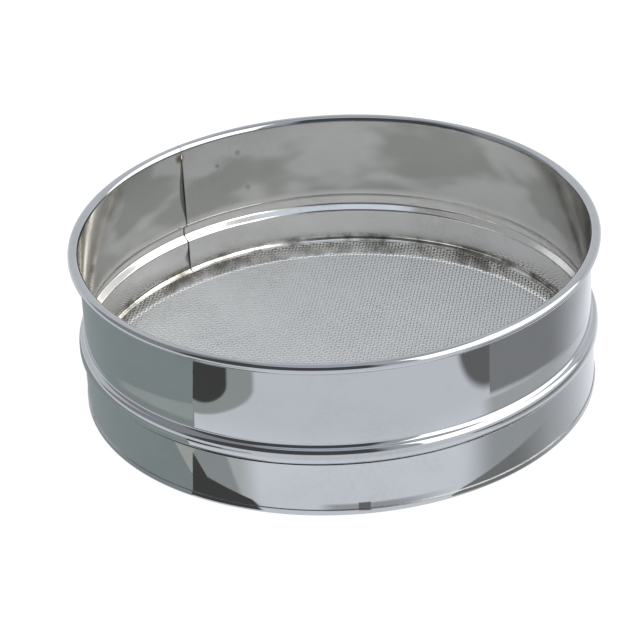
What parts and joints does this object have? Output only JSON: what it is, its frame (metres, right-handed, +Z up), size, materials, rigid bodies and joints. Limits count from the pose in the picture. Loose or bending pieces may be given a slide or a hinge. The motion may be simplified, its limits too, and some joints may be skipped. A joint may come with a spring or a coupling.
{
  "type": "sieve",
  "caption": "Round soil sieve: polished stainless hoop with a wired rim and a stiffening bead, woven wire cloth near the bottom, and a hemmed foot hoop",
  "frame": {"origin": "centre of the base circle, on the surface the sieve stands on", "axes": "+Z up along the sieve's axis; the body's lapped seam is 127 degrees round from +X"},
  "size_m": [0.3126, 0.3126, 0.099],
  "materials": {
    "polished_sheet": "mirror-polished stainless sheet",
    "rim_wire_steel": "drawn wire",
    "cloth_wire_steel": "bright drawn wire, plain woven"
  },
  "bodies": {
    "root": {"body_hoop": "polished_sheet", "foot_hoop": "polished_sheet", "rim_wire": "rim_wire_steel", "wire_cloth": "cloth_wire_steel"}
  },
  "joints": []
}
